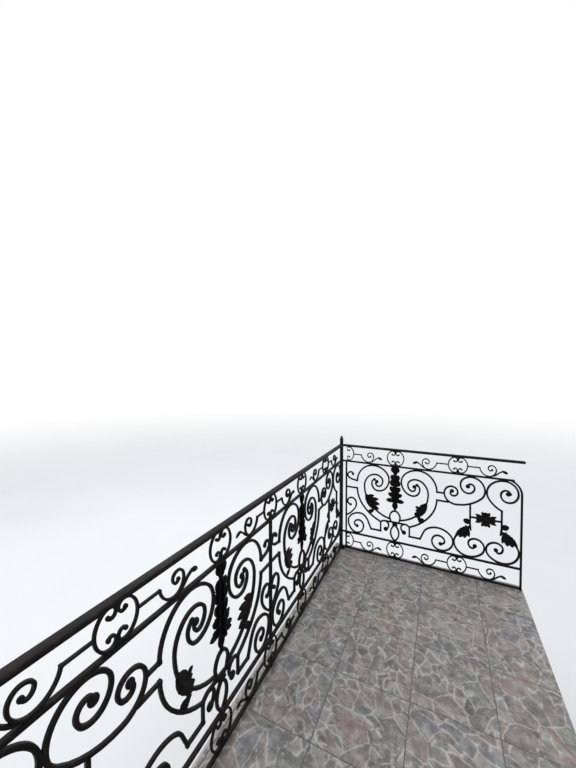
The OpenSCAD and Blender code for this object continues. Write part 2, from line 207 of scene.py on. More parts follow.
def mix_shaders(amount, one, other):
    node = add(amount.id_data.nodes, "MixShader")
    for source, socket in zip((amount, one, other), node.inputs):
        wire(source, socket)
    return node.outputs["Shader"]


def coat(shader, colour, roughness, height, strength, distance):
    wire(colour, shader.inputs["Base Color"])
    if isinstance(roughness, float):
        shader.inputs["Roughness"].default_value = roughness
    else:
        wire(roughness, shader.inputs["Roughness"])
    bump = add(shader.id_data.nodes, "Bump", {"Strength": strength, "Distance": distance})
    wire(height, bump.inputs["Height"])
    wire(bump.outputs["Normal"], shader.inputs["Normal"])


# %% [markdown]
# ### Black paint on iron
#
# Old brushed satin paint: nearly black, browner where it has chalked, duller on the faces that
# look up, which take real dust and also a painted sheen (a purple-brown tint in the colour that
# stands in for light glancing off the tops of the bars), and thin along the corners of a bar,
# where hands and cloths rub it. Each bar carries an attribute called rub, which is 1 along its
# corners and 0 on its flats, so the wear follows the iron and not the view.

# %%
PAINT_TONES = [(0.32, (0.0035, 0.0035, 0.004)), (0.52, (0.0065, 0.0055, 0.0055)), (0.72, (0.014, 0.0095, 0.0090))]
# The up-facing colour is partly dust and partly a painted sheen: its purple-brown tint stands in for light glancing
# off the tops of the bars.
DUST_AND_SHEEN, RUBBED_IRON = (0.080, 0.058, 0.056), (0.050, 0.036, 0.030)


def black_paint():
    finish, nodes, shader = new_finish("black_iron_paint")
    place = own_place(nodes)
    cloud, speck = noise(place, 7.0, 7.0, 0.62), noise(place, 38.0, 5.0, 0.7)
    facing = add(nodes, "SeparateXYZ")
    wire(add(nodes, "NewGeometry").outputs["Normal"], facing.inputs["Vector"])
    # Faces that look up take the dust colour, which also paints in a sheen of light on their tops.
    looks_up = between(facing.outputs["Z"], 0.6, 1.0, 0.0, 0.10)
    dust_and_sheen = blend_colours(product(looks_up, between(speck, 0.35, 0.65, 0.35, 1.0)), ramp(cloud, PAINT_TONES), DUST_AND_SHEEN)
    rub = add(nodes, "Attribute", attribute_name="rub").outputs["Fac"]
    thin = product(between(rub, 0.55, 1.0, 0.0, 1.0), between(speck, 0.52, 0.70, 0.0, 0.6))
    shader.inputs["Specular IOR Level"].default_value = 0.10
    coat(shader, blend_colours(thin, dust_and_sheen, RUBBED_IRON), between(cloud, 0.3, 0.7, 0.42, 0.66),
         noise(place, 130.0, 4.0, 0.55), 0.35, 0.0009)
    return finish


IRON = black_paint()

# %% [markdown]
# ### Rendered concrete
#
# The slab's edge and underside are smoothed cement: three tones of pale grey in clouds, darker
# runs where rain leaves the edge, fine pits in the surface. The runs are the same kind of noise,
# on coordinates that are stretched upright.

# %%
CEMENT_TONES = [(0.30, (0.37, 0.35, 0.32)), (0.52, (0.50, 0.48, 0.44)), (0.74, (0.60, 0.58, 0.54))]
RAIN_RUN = (0.22, 0.205, 0.18)


def rendered_concrete():
    finish, nodes, shader = new_finish("rendered_concrete")
    place = own_place(nodes)
    cloud = noise(place, 2.6, 9.0, 0.66)
    upright = add(nodes, "Mapping", {"Scale": (9.0, 9.0, 1.1)})
    wire(place, upright.inputs["Vector"])
    runs = between(noise(upright.outputs["Vector"], 1.6, 6.0, 0.6), 0.56, 0.76, 0.0, 0.5)
    coat(shader, blend_colours(runs, ramp(cloud, CEMENT_TONES), RAIN_RUN), between(cloud, 0.3, 0.7, 0.78, 0.93),
         noise(place, 85.0, 7.0, 0.7), 0.5, 0.0022)
    return finish


CONCRETE = rendered_concrete()

# %% [markdown]
# ### Printed stone tiles
#
# Each tile is glazed and printed with broken stone: big angular plates in grey, clay, green grey
# and lavender grey, and between them nests of slim dark shards in a web of pale veins. A Voronoi
# texture makes just such angular pieces, and its distance to the edge draws the veins.

# %%
# All the stone colours below are set darker than the tiles' own colours. This is painted shade: the balcony floor
# lies in shade, and that darkness is put into the colours and not made by the light.
SHADED_BIG_PLATES = [(0.00, (0.205, 0.185, 0.173)), (0.16, (0.250, 0.192, 0.172)), (0.32, (0.188, 0.184, 0.196)),
              (0.46, (0.285, 0.264, 0.243)), (0.60, (0.195, 0.199, 0.174)), (0.74, (0.232, 0.196, 0.184)),
              (0.88, (0.170, 0.162, 0.150))]
SHADED_SLIM_SHARDS = [(0.00, (0.135, 0.125, 0.118)), (0.25, (0.200, 0.172, 0.162)), (0.50, (0.155, 0.155, 0.146)),
               (0.75, (0.230, 0.217, 0.207))]
PALE_VEIN, PALE_CLOUD, DARK_CLOUD = (0.52, 0.50, 0.465), (0.40, 0.380, 0.345), (0.074, 0.068, 0.062)


def bent_by(where, scale, reach):
    """Pushes the coordinates about with a noise, so that straight cell walls turn crooked."""
    nodes = where.id_data.nodes
    shift = add(nodes, "VectorMath", {1: (0.5, 0.5, 0.5)}, operation="SUBTRACT")
    wire(noise(where, scale, 3.0).node.outputs["Color"], shift.inputs[0])
    small = add(nodes, "VectorMath", {"Scale": reach}, operation="SCALE")
    wire(shift.outputs["Vector"], small.inputs[0])
    bent = add(nodes, "VectorMath", operation="ADD")
    wire(where, bent.inputs[0])
    wire(small.outputs["Vector"], bent.inputs[1])
    return bent.outputs["Vector"]


def broken_stone(where, scale, colours, vein_width):
    """Angular stones of one size: their colours, and how far each point lies in a vein."""
    cells = {}
    for feature in ("F1", "DISTANCE_TO_EDGE"):
        cells[feature] = add(where.id_data.nodes, "TexVoronoi", {"Scale": scale},
                             voronoi_dimensions="2D", feature=feature)
        wire(where, cells[feature].inputs["Vector"])
    lot = add(where.id_data.nodes, "SeparateColor")
    wire(cells["F1"].outputs["Color"], lot.inputs["Color"])
    vein = between(cells["DISTANCE_TO_EDGE"].outputs["Distance"], 0.0, vein_width, 1.0, 0.0)
    return ramp(lot.outputs["Red"], colours, "CONSTANT"), vein


# %% [markdown]
# The coarse and the fine stones take turns over the tile where a cloud noise says so. A grain
# lightens and darkens them and breaks up the veins. The pattern reads the tile's own UV map, in
# which each tile was turned and shifted when it was laid, to keep the print from lining up.

# %%
def printed_tile():
    finish, nodes, shader = new_finish("printed_stone_tile")
    laid = add(nodes, "UVMap", uv_map="print").outputs["UV"]
    where = bent_by(laid, 4.0, 0.14)
    plates, plate_vein = broken_stone(where, 3.1, SHADED_BIG_PLATES, 0.042)
    slim = add(nodes, "Mapping", {"Rotation": (0.0, 0.0, 0.6), "Scale": (1.0, 0.52, 1.0)})
    wire(where, slim.inputs["Vector"])
    shards, shard_vein = broken_stone(slim.outputs["Vector"], 8.6, SHADED_SLIM_SHARDS, 0.15)
    in_nest = between(noise(laid, 2.6, 3.0, 0.6), 0.50, 0.53, 0.0, 1.0)
    vein = add(nodes, "Mix", data_type="FLOAT")
    for source, socket in ((in_nest, "Factor"), (plate_vein, "A"), (shard_vein, "B")):
        wire(source, vein.inputs[socket])
    grain = noise(laid, 6.5, 10.0, 0.76)
    stone = blend_colours(in_nest, plates, shards)
    stone = blend_colours(between(grain, 0.48, 0.64, 0.0, 0.85), stone, PALE_CLOUD)
    stone = blend_colours(between(grain, 0.31, 0.49, 0.75, 0.0), stone, DARK_CLOUD)
    broken_vein = product(vein.outputs["Result"], between(grain, 0.34, 0.60, 0.15, 1.0))
    shader.inputs["Specular IOR Level"].default_value = 0.35
    coat(shader, blend_colours(broken_vein, stone, PALE_VEIN), between(grain, 0.3, 0.7, 0.34, 0.52),
         grain, 0.25, 0.0010)
    return finish


TILE = printed_tile()

# %% [markdown]
# ### Grout
#
# Cement grout goes grey with dirt: a rough material in two close tones.

# %%
def grey_grout():
    finish, nodes, shader = new_finish("grey_grout")
    sand = noise(own_place(nodes), 24.0, 8.0, 0.7)
    tones = [(0.35, (0.10, 0.092, 0.085)), (0.65, (0.21, 0.195, 0.18))]
    coat(shader, ramp(sand, tones), 0.9, sand, 0.5, 0.001)
    return finish


GROUT = grey_grout()

# %% [markdown]
# ## A bench for each shape
#
# A mesh that already holds hundreds of bars is a bad place to work in: every operator looks at
# all of it, and new points may be stored among the old ones. So each maker gets an empty bench,
# and what it has made is then carried over to the work.

# %%
def new_bench():
    bench = bmesh.new()
    bench.verts.layers.float.new("rub")
    return bench


def kept(bench, name):
    """Stores what lies on the bench as a mesh, and clears the bench away."""
    mesh = bpy.data.meshes.new(name)
    bench.to_mesh(mesh)
    bench.free()
    return mesh


def carry_over(bench, metal):
    scrap = kept(bench, "scrap")
    metal.from_mesh(scrap)
    bpy.data.meshes.remove(scrap)


def on_own_bench(make):
    def made(metal, *sizes, **settings):
        bench = new_bench()
        result = make(bench, *sizes, **settings)
        carry_over(bench, metal)
        return result
    return made


# %% [markdown]
# ## Handing a piece over
#
# Every new piece is one mesh with its place in its points. It is smoothed except at its sharp
# corners, rides on the balcony's one body and stands for the construction node whose work it
# does. Nearly all are iron.

# %%
def deliver(name, metal, *nodes, finish=IRON, slot="black_iron", sharp=42.0):
    mesh = kept(metal, name)
    mesh.polygons.foreach_set("use_smooth", [True] * len(mesh.polygons))
    mesh.set_sharp_from_angle(angle=math.radians(sharp))
    mesh.materials.append(finish)
    piece = put_in_scene(name, mesh)
    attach(piece, "root")
    if nodes:
        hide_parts(*nodes)
    print(name, len(mesh.polygons), "faces")


# %% [markdown]
# ## The smith's basic moves
#
# Some moves come back in nearly every piece: a block, its edges rounded off, a profile swung
# round a centre, a bar sawn off, all faces turned outwards. They get names here.

# %%
def block_between(metal, lo, hi):
    block = bmesh.ops.create_cube(metal, size=1.0)["verts"]
    bmesh.ops.scale(metal, vec=[b - a for a, b in zip(lo, hi)], verts=block)
    bmesh.ops.translate(metal, vec=[(a + b) / 2 for a, b in zip(lo, hi)], verts=block)
    return block


def edges_of(verts):
    return list({edge for vert in verts for edge in vert.link_edges})


def round_off(metal, edges, by, segments=2):
    return bmesh.ops.bevel(metal, geom=edges, offset=by, offset_type="OFFSET", affect="EDGES",
                           segments=segments, profile=0.5, material=-1)["verts"]


def sort_out(parts):
    """The points and the edges among the results of an operator."""
    return ([part for part in parts if isinstance(part, bmesh.types.BMVert)],
            [part for part in parts if isinstance(part, bmesh.types.BMEdge)])


def swing(metal, parts, centre, angle, steps, closed=False):
    """Sweeps parts round an upright axis. Returns the points and edges at its end."""
    swept = bmesh.ops.spin(metal, geom=parts, cent=centre, axis=(0, 0, 1), dvec=(0, 0, 0), angle=angle,
                           steps=steps, use_merge=closed, use_normal_flip=False, use_duplicate=False)
    return sort_out(swept["geom_last"])


def saw_off(metal, where, towards):
    """Takes away what lies beyond a plane, and closes the bars that it cuts."""
    cut = bmesh.ops.bisect_plane(metal, geom=metal.verts[:] + metal.edges[:] + metal.faces[:], dist=1e-7,
                                 plane_co=where, plane_no=towards, clear_outer=True)
    bmesh.ops.holes_fill(metal, edges=sort_out(cut["geom_cut"])[1], sides=0)


def faces_out(metal):
    bmesh.ops.recalc_face_normals(metal, faces=metal.faces)
    return metal


# %% [markdown]
# ## A bar's cross-section
#
# Bar stock is never sharp: its corners are rolled a little round. The profile is a square face
# whose edges are cut in the middle and whose corners are bevelled. Its outline is swept along the
# bar, and the face stays behind and closes the bar's beginning. The points in the middle of the
# flats carry no rub, the corners do.

# %%
def bar_profile(width, depth, corner):
    """Width and depth of a bar and the cut of its corners, in millimetres."""
    bench = bmesh.new()
    bmesh.ops.create_grid(bench, x_segments=1, y_segments=1, size=0.5)
    bmesh.ops.scale(bench, vec=(width * MM, depth * MM, 1.0), verts=bench.verts)
    bmesh.ops.subdivide_edges(bench, edges=bench.edges[:], cuts=1)
    tips = [vert for vert in bench.verts if abs(vert.co.x) > 1e-7 and abs(vert.co.y) > 1e-7]
    bmesh.ops.bevel(bench, geom=tips, offset=corner * MM, offset_type="OFFSET", affect="VERTICES",
                    segments=1, profile=0.5, material=-1)
    rub = bench.verts.layers.float.new("rub")
    for vert in bench.verts:
        flat = abs(vert.co.x) < 1e-7 or abs(vert.co.y) < 1e-7
        vert[rub] = 0.0 if flat else 1.0
    return kept(bench, "profile")


SCROLL_BAR = bar_profile(14, 16, 2.8)
FRIEZE_BAR = bar_profile(9, 13, 2.0)
STILE_BAR = bar_profile(14, 18, 1.8)
print("points round a bar:", len(SCROLL_BAR.vertices))

# %% [markdown]
# ## The arcs of a scroll
#
# A smith bends scrolls round a former, and each turn of the former is nearly an arc. So a strand
# is a list of way points (x, height, heading in degrees), and between two of them the bar
# follows two arcs that meet without a kink. Their radii come from the two headings, by the same
# rule as in the construction model.

# %%
def arc_end(a, b):
    side = 1 if b > a else -1
    a, b = math.radians(a), math.radians(b)
    return Vector((side * (math.sin(b) - math.sin(a)), side * (math.cos(a) - math.cos(b))))


def two_radii(p, q):
    middle = (p[2] + q[2]) / 2
    a, b = arc_end(p[2], middle), arc_end(middle, q[2])
    det = a.x * b.y - a.y * b.x
    dx, dy = q[0] - p[0], q[1] - p[1]
    return (dx * b.y - dy * b.x) / det, (a.x * dy - a.y * dx) / det


def arc_steps(radius, degrees):
    """Wide arcs show their corners most, so they are cut finest."""
    finest = 7.5 if radius > 60 else 9.0 if radius > 30 else 12.0
    return max(2, math.ceil(abs(degrees) / finest))


# %% [markdown]
# ## Bending and drawing a bar
#
# The profile is laid square on to the bar's heading. For a scroll it is swung round each arc's
# centre in turn, for a straight bar it is extruded. The last outline is filled to close the bar.

# %%
def lay_profile(metal, profile, x, y, heading):
    metal.from_mesh(profile)
    loop = metal.verts[:]
    h = math.radians(heading)
    square_on = Matrix(((-math.sin(h), 0, math.cos(h), x * MM), (math.cos(h), 0, math.sin(h), y * MM),
                        (0, 1, 0, 0), (0, 0, 0, 1)))
    bmesh.ops.transform(metal, matrix=square_on, verts=loop)
    return loop, metal.edges[:]


@on_own_bench
def bend(metal, profile, strand):
    """Sweeps the profile along the strand and closes both ends. Returns where it ends."""
    loop, edges = lay_profile(metal, profile, *strand[0])
    for p, q in zip(strand, strand[1:]):
        here = Vector((p[0], p[1]))
        heading = p[2]
        half = (q[2] - p[2]) / 2
        side = 1 if half > 0 else -1
        for radius in two_radii(p, q):
            h = math.radians(heading)
            centre = here + side * radius * Vector((-math.sin(h), math.cos(h)))
            loop, edges = swing(metal, loop + edges, (centre.x * MM, centre.y * MM, 0),
                                math.radians(half), arc_steps(radius, half))
            here = here + radius * arc_end(heading, heading + half)
            heading += half
    bmesh.ops.contextual_create(metal, geom=edges)
    return strand[-1]


@on_own_bench
def draw_out(metal, profile, p, q, extra=0.5):
    """A straight bar from p to q, run on by extra at both ends."""
    way = Vector((q[0] - p[0], q[1] - p[1]))
    along = way.normalized()
    start = Vector(p) - extra * along
    _, edges = lay_profile(metal, profile, start.x, start.y, math.degrees(math.atan2(way.y, way.x)))
    ends, rim = sort_out(bmesh.ops.extrude_edge_only(metal, edges=edges)["geom"])
    step = (way.length + 2 * extra) * along * MM
    bmesh.ops.translate(metal, vec=(step.x, step.y, 0), verts=ends)
    bmesh.ops.contextual_create(metal, geom=rim)


# %% [markdown]
# ## Small forged shapes
#
# A scroll ends in a snub: the tip is upset into a heavy round boss, a little deeper than the
# bar. Where two bars touch they are welded, and the weld is dressed into a small pillow. An
# elbow is the corner of a bar bent hot, which swells slightly. The snub is a sphere whose two
# poles are pressed flat, the others are blocks with rounded edges.

# %%
BELT, PRESSED = 0.35, 0.55
POLE = BELT + (1 - BELT) * PRESSED


@on_own_bench
def snub(metal, x, y, radius, depth):
    ball = bmesh.ops.create_uvsphere(metal, u_segments=20, v_segments=12, radius=1.0)["verts"]
    for vert in ball:
        over = max(0.0, abs(vert.co.z) - BELT)
        vert.co.z = math.copysign(min(abs(vert.co.z), BELT) + over * PRESSED, vert.co.z)
    bmesh.ops.scale(metal, vec=(radius * MM, radius * MM, depth / 2 / POLE * MM), verts=ball)
    bmesh.ops.translate(metal, vec=(x * MM, y * MM, 0), verts=ball)


@on_own_bench
def pillow(metal, x, y, width, height, depth, corner):
    half = Vector((width, height, depth)) / 2
    middle = Vector((x, y, 0))
    block = block_between(metal, (middle - half) * MM, (middle + half) * MM)
    round_off(metal, edges_of(block), corner * MM)


def elbow(metal, x, y, width, depth):
    swell = 0.8
    pillow(metal, x, y, width + swell, width + swell, depth + swell, 1.8)


# %% [markdown]
# ## A leaf blade
#
# A forged leaf starts as a flat tongue. The smith draws the edges thin, hollows the two halves
# on a wooden block and sinks the midrib with a chisel. A grid is that tongue: each row of points
# is pulled in to a lens, the halves are lifted, the rib and side veins are sunk, the tip is
# curled, and solidify gives it its thickness. A blunt blade is an oval instead of a lens, and
# fan makes it broader towards its tip.

# %%
LEAF_THICKNESS = 2.6


@on_own_bench
def leaf_blade(metal, x, y, angle, length, width, hollow=5.0, curl=0.0, lift=0.0, blunt=0.0, fan=0.0, crisp=0.08):
    blade = bmesh.ops.create_grid(metal, x_segments=12, y_segments=8, size=0.5)["verts"]
    faces = metal.faces[:]
    radius = (length * length + width * width) / (4 * width)
    for vert in blade:
        t, side = vert.co.x * 2, vert.co.y * 2                 # root to tip and rim to rim, -1 to 1
        along = t * length / 2
        fades = 1 - t * t                                      # nothing is worked at root and tip
        lens = math.sqrt(max(radius * radius - along * along, 0.0)) - radius + width / 2
        oval = width / 2 * (1 - abs(t) ** 2.4) ** 0.8
        notched = 1.0 + crisp * math.cos(math.pi * 5 * t) * fades
        aside = side * max(lens + blunt * (oval - lens), 0.15) * (1.0 + fan * t) * notched
        rib = 0.55 * math.exp(-(side * 5.0) ** 2)
        veins = 0.35 * math.cos(math.pi * 6 * (t - 0.45 * abs(side))) * abs(side) * fades
        rise = hollow * (abs(side) ** 1.5 - rib) * fades + veins * hollow * 0.5
        drop = curl * max(0.0, (t + 0.2) / 1.2) ** 2           # only the outer part curls
        vert.co = Vector((along, aside, rise + drop + lift)) * MM
    place = Matrix.Translation((x * MM, y * MM, 0)) @ Matrix.Rotation(math.radians(angle), 4, "Z")
    bmesh.ops.transform(metal, matrix=place, verts=blade)
    bmesh.ops.solidify(metal, geom=faces, thickness=LEAF_THICKNESS * MM)


# %% [markdown]
# ## The main panel
#
# Half a section of railing is laid out flat on the bench, x from the middle post and y above the
# floor, and then stood up six times. The strands are grouped as they hang together: beside the
# stem, at the post, at the far side, under the stem, round the bloom.

# %%
STEM, BLOOM = 456, 1168                 # the two axes that shapes are mirrored about
CROSS_BAR = 521
STEP, JOG, FOOT = 689, 618, 247
TOP, LOW = 855.5, 183.5
AT_POST, AT_BLOOM = 13.5, 6.5
AT_STILE, UNDER_BEND = 1396.5, 1388


def across(strand, c):
    return [(2 * c - x, y, 180 - h) for x, y, h in strand]


def flip(points, c):
    return [(2 * c - x, y) for x, y in points]


stem_scrolls = [
    ([(108, STEP, 90), (262, TOP, 0), (402, 735, -90), (304, 621, -180),
      (246, 686, -270), (270, 724, -350)], 12),
    ([(412, 376, 168), (177, 652, 90), (280, 772, 0), (346, 716, -90), (308, 664, -180),
      (282, 692, -270), (292, 706, -340)], 15),
    ([(108, JOG, -88), (330, 333, -22)], 0),
    ([(330, 333, 40), (366, 350, 0), (402, 314, -90), (376, 274, -180)], 18.5),
]
post_scrolls = [
    ([(62, STEP + 8, 172), (AT_POST, 732, 90), (46, 766, 0), (66, 748, -90)], 11),
    ([(4, 338, 30), (100, 462, 90), (56, 516, 180), (AT_POST, 478, 270), (44, 446, 360)], 11),
    ([(212, 316, 112), (136, 378, 180), (22, 284, 270), (102, LOW, 360),
      (170, 258, 450), (124, 308, 540), (82, 272, 630), (108, 248, 720)], 14),
]
far_scrolls = [
    ([(702, 318, 65), (810, 376, 0), (932, 276, -90), (838, LOW, -180),
      (768, 254, -270), (820, 310, -360), (868, 268, -450), (836, 240, -540)], 15),
]
foot_bends = [
    ([(410, 394, 90), (STEM, 456, 0), (2 * STEM - 410, 394, -90)], 0),
    ([(STEM, 320, 180), (STEM - 36, 252, 270), (STEM, LOW, 360), (STEM + 36, 252, 450), (STEM, 320, 540)], 0),
]
bloom_scrolls = [
    ([(950, 607, 0), (BLOOM - AT_BLOOM, 748, 90), (1062, TOP, 180),
      (983, 785, 270), (1040, 716, 360), (1087, 764, 450), (1058, 796, 540), (1038, 774, 630)], 16),
    ([(950, 607, 180), (861, 695, 90), (918, 757, 0), (964, 714, -90), (932, 678, -180),
      (908, 700, -270), (920, 718, -330)], 15),
    ([(BLOOM + AT_BLOOM, 745, -90), (1277, 610, -28)], 0),
]
bloom_sides = [
    ([(1290, LOW, 180), (BLOOM + AT_BLOOM, 275, 90), (1240, 342, 0), (1290, 298, -90),
      (1262, 260, -180), (1242, 282, -270)], 15),
    ([(1290, LOW, 0), (AT_STILE, 290, 90), (1279, 436, 150)], 0),
]


def end_scroll(reach):
    return ([(BLOOM + AT_BLOOM, 745, 90), (1290, TOP, 0), (reach, 757, -90),
             (1322, 684, -180), (1270, 738, -270), (1306, 780, -360), (1332, 756, -450)], 12)


stem_straights = [[(330, 333), (330, FOOT)], [(330, FOOT), (240, FOOT)], [(410, 394), (424, 346)]]
straights = [
    [(108, STEP), (62, STEP + 8)], [(4, JOG), (108, JOG)], [(240, FOOT), (212, 316)],
    [(2 * STEM - 108, STEP), (863, STEP)], [(2 * STEM - 108, JOG), (896, JOG)],
    [(2 * STEM - 240, FOOT), (702, 318)], [(366, 350), (2 * STEM - 366, 350)],
    [(1279, 609), (1279, 434)], [(2 * BLOOM - 1279, 628), (2 * BLOOM - 1279, 434)],
    [(1279, 470), (1273, 409)], [(2 * BLOOM - 1279, 470), (2 * BLOOM - 1273, 409)],
    [(2 * BLOOM - 1279, CROSS_BAR), (1279, CROSS_BAR)],
]
elbows = [(108, STEP), (108, JOG), (330, 333), (330, FOOT), (240, FOOT)]

# %% [markdown]
# The strands are then bent one after another into one mesh. Strands beside the stem and below
# the bloom are made twice, the second time across their own axis. Each pair is a strand and the
# radius of the boss at its end, or 0 where it ends in a weld.

# %%
BOSS_DEPTH, HEAVY_BOSS = 20, (1319, 752, 17)
WELDS = ((939, 278, 15, 24), (BLOOM, 746, 17, 26), (BLOOM, 274, 17, 26))
COLLAR = ((339, 44, 38, 16.5), (350, 49, 9, 21), (328, 47, 9, 21))      # under the stem


def panel_bars(metal, reach):
    strands = stem_scrolls + [(across(s, STEM), k) for s, k in stem_scrolls]
    strands += post_scrolls + far_scrolls + foot_bends + bloom_scrolls + [end_scroll(reach)]
    strands += bloom_sides + [(across(s, BLOOM), k) for s, k in bloom_sides]
    for strand, knob in strands:
        x, y, _ = bend(metal, SCROLL_BAR, strand)
        if knob:
            snub(metal, x, y, knob + 1.5, BOSS_DEPTH)
    snub(metal, *HEAVY_BOSS, BOSS_DEPTH)
    for p, q in stem_straights + [flip(line, STEM) for line in stem_straights] + straights:
        draw_out(metal, SCROLL_BAR, p, q)
    for x, y in elbows + flip(elbows, STEM) + [(1279, 609)]:
        elbow(metal, x, y, 14, 16)
    for x, y, w, h in WELDS:
        pillow(metal, x, y, w, h, 18, 3.0)
    for y, w, h, d in COLLAR:
        pillow(metal, STEM, y, w, h, d, 3.0)
    print("bent strands:", len(strands))


# %% [markdown]
# ### Leaves round the stem
#
# The stem between the two large scrolls is wrapped in leaves: four sheaths lie close to it, and
# seven tiers of eight blades lean out from it. The blades of the street side are smaller, since
# the stem was made to be seen from the balcony. Each blade is made flat, turned round the stem
# and pressed towards the panel.

# %%
STEM_SHEATHS = [(830, 104, 48), (738, 128, 72), (604, 196, 74), (508, 106, 40)]      # height, length, width
STEM_TIERS = [                                                   # height, out, lean, length, width
    (834, 18, -24, 56, 40), (764, 21, -18, 54, 42), (710, 24, -24, 60, 46), (654, 26, -34, 60, 42),
    (602, 31, -68, 66, 42), (551, 41, -94, 76, 40), (512, 11, 12, 60, 26),
]
STREET_SIDE, PRESSED_FLAT = (5, 6, 7), 0.45


def round_stem(metal, k, *sizes, **shape):
    """A blade at the stem, k eighths of a turn round it."""
    spoke = new_bench()
    leaf_blade(spoke, *sizes, **shape)
    place = (Matrix.Translation((STEM * MM, 0, 0)) @ Matrix.Scale(PRESSED_FLAT, 4, (0, 0, 1))
             @ Matrix.Rotation(k * math.pi / 4, 4, "Y"))
    bmesh.ops.transform(spoke, matrix=place, verts=spoke.verts)
    carry_over(spoke, metal)


def stem_leaves(metal):
    for height, length, width in STEM_SHEATHS:
        for k in range(4):
            round_stem(metal, k, 0, height, 90, length, width, hollow=2.0)
    for height, out, lean, length, width in STEM_TIERS:
        for k in range(8):
            size = 0.72 if k in STREET_SIDE else 1.0 if k % 2 == 0 else 0.85
            round_stem(metal, k, out * size, height, 90 + lean, length * size, width * size,
                       hollow=3.0, curl=4.0, blunt=0.8, crisp=0.03)


# %% [markdown]
# ### Leaves in the scrolls, and the bloom
#
# A broad leaf clasps each large scroll low down on its inner side, and the outer one of the two
# has shorter and rounder lobes. A leaf covers each place where an upright turns into a lower
# scroll. All are fans of overlapping blades round a long one. The bloom on the cross bar has
# four petals of three blades and a boss in the middle.

# %%
SCROLL_LEAF = [                                 # x, y, angle, length, width, curl, lift
    (228, 506, -60, 168, 66, 3, 0), (230, 558, 24, 86, 36, 5, 1), (266, 536, 12, 92, 38, 6, 2),
    (276, 500, 0, 92, 42, 6, 3), (272, 458, -10, 86, 46, 5, 2), (240, 418, -150, 62, 36, 4, 1),
]
OUTER_LEAF = [                                  # the same, and blunt and fan
    (228, 506, -60, 168, 66, 3, 0, 0.0, 0.0), (216, 541, -32, 80, 44, 5, 1, 0.9, 0.0),
    (256, 521, 28, 52, 22, 6, 2, 0.9, 0.6), (252, 498, 0, 54, 36, 6, 3, 0.9, 0.0),
    (262, 465, -5, 58, 40, 6, 2, 0.9, 0.0), (258, 450, -20, 52, 36, 5, 1, 0.9, 0.0),
    (238, 416, -150, 64, 48, 4, 1, 0.9, 0.6),
]
END_LEAF = [
    (1332, 392, -42, 152, 54, 4, 0), (1297, 398, -106, 102, 34, 5, 1), (1312, 382, -80, 100, 42, 5, 2),
    (1338, 370, -64, 84, 42, 5, 1), (1301, 480, 16, 58, 46, 3, 0),
]
PETALS = [(0, 82, 70, 50), (90, 67, 58, 48), (180, 82, 70, 50), (270, 67, 58, 48)]   # angle, tips, middle, width


def lay_leaf(metal, blades, crisp=0.08):
    for x, y, angle, length, width, curl, lift, *form in blades:
        blunt, fan = form or (0.0, 0.0)
        leaf_blade(metal, x, y, angle, length, width, curl=curl, lift=lift, blunt=blunt, fan=fan, crisp=crisp)


def petal_blade(metal, angle, reach, width, lift, blunt, fan):
    root = 2
    out, a = (reach + root) / 2, math.radians(angle)
    leaf_blade(metal, BLOOM + out * math.cos(a), CROSS_BAR + out * math.sin(a), angle, reach - root, width,
               curl=7.0, lift=lift, blunt=blunt, fan=fan, crisp=0.05)


def bloom(metal):
    for angle, tips, middle, width in PETALS:
        for side in (-25, 25):
            petal_blade(metal, angle + side, tips, 25, 3.0, 0.3, 0.2)
        petal_blade(metal, angle, middle, width, 1.0, 1.0, 0.8)
    snub(metal, BLOOM, CROSS_BAR, 17, 28)


# %% [markdown]
# ### Half a panel
#
# Bars, stem and leaves come together on one bench. The leaf beyond an axis is made on the near
# side and turned over. A mirrored shell is inside out, so its faces are turned back. The work is
# kept flat: one half for the front, and one for the sides, whose last scroll reaches less far.

# %%
STEM_FOOT, STEM_HEAD = 450, 862


def mirrored(metal, blades, c, **shape):
    bench = new_bench()
    lay_leaf(bench, blades, **shape)
    over = Matrix.Translation((2 * c * MM, 0, 0)) @ Matrix.Scale(-1, 4, (1, 0, 0))
    bmesh.ops.transform(bench, matrix=over, verts=bench.verts)
    bmesh.ops.reverse_faces(bench, faces=bench.faces)
    carry_over(bench, metal)


def half_panel(reach):
    metal = new_bench()
    panel_bars(metal, reach)
    pillow(metal, STEM, (STEM_FOOT + STEM_HEAD) / 2, 14, STEM_HEAD - STEM_FOOT, 14, 1.8)
    lay_leaf(metal, SCROLL_LEAF)
    mirrored(metal, OUTER_LEAF, STEM, crisp=0.04)
    lay_leaf(metal, END_LEAF)
    mirrored(metal, END_LEAF, BLOOM)
    stem_leaves(metal)
    bloom(metal)
    flat = kept(faces_out(metal), "half_panel")
    print("half a panel:", len(flat.polygons), "faces")
    return flat


FRONT_PANEL, SIDE_PANEL = half_panel(AT_STILE), half_panel(UNDER_BEND)

# %% [markdown]
# ## The friezes
#
# Above and below the panel runs a narrow band: rings of four small scrolls, and between them
# curls that come out of a stepped bar and end in a leaf. A ring is one strand put down four
# times, and a curl is turned to the side where its ring is.

# %%
CURL = [(-72, 67, -80), (-4, 4, 0), (44, 58, 90), (14, 94, 180), (-12, 72, 270), (4, 50, 360), (16, 60, 440)]
TAIL = [(22, 10, 15), (56, 34, 50), (92, 56, 20)]
STEP_OUT, STEP_UP, RING_RADIUS = 72, 67, 72


def frieze_ring(metal, x, lo, hi):
    c = (lo + hi) / 2
    h = (hi - lo) / 2 - 4
    for s in (-1, 1):
        strand = [(x - RING_RADIUS, c, s * 90), (x - 24, c + s * h, 0), (x - 4, c + s * (h - 20), -s * 90),
                  (x - 19, c + s * (h - 37), -s * 180), (x - 29, c + s * (h - 30), -s * 270)]
        for way in (strand, across(strand, x)):
            end_x, end_y, _ = bend(metal, FRIEZE_BAR, way)
            snub(metal, end_x, end_y, 7.7, 16)
    for weld in (lo + 11, hi - 11):
        pillow(metal, x, weld, 16, 23, 15, 3.0)


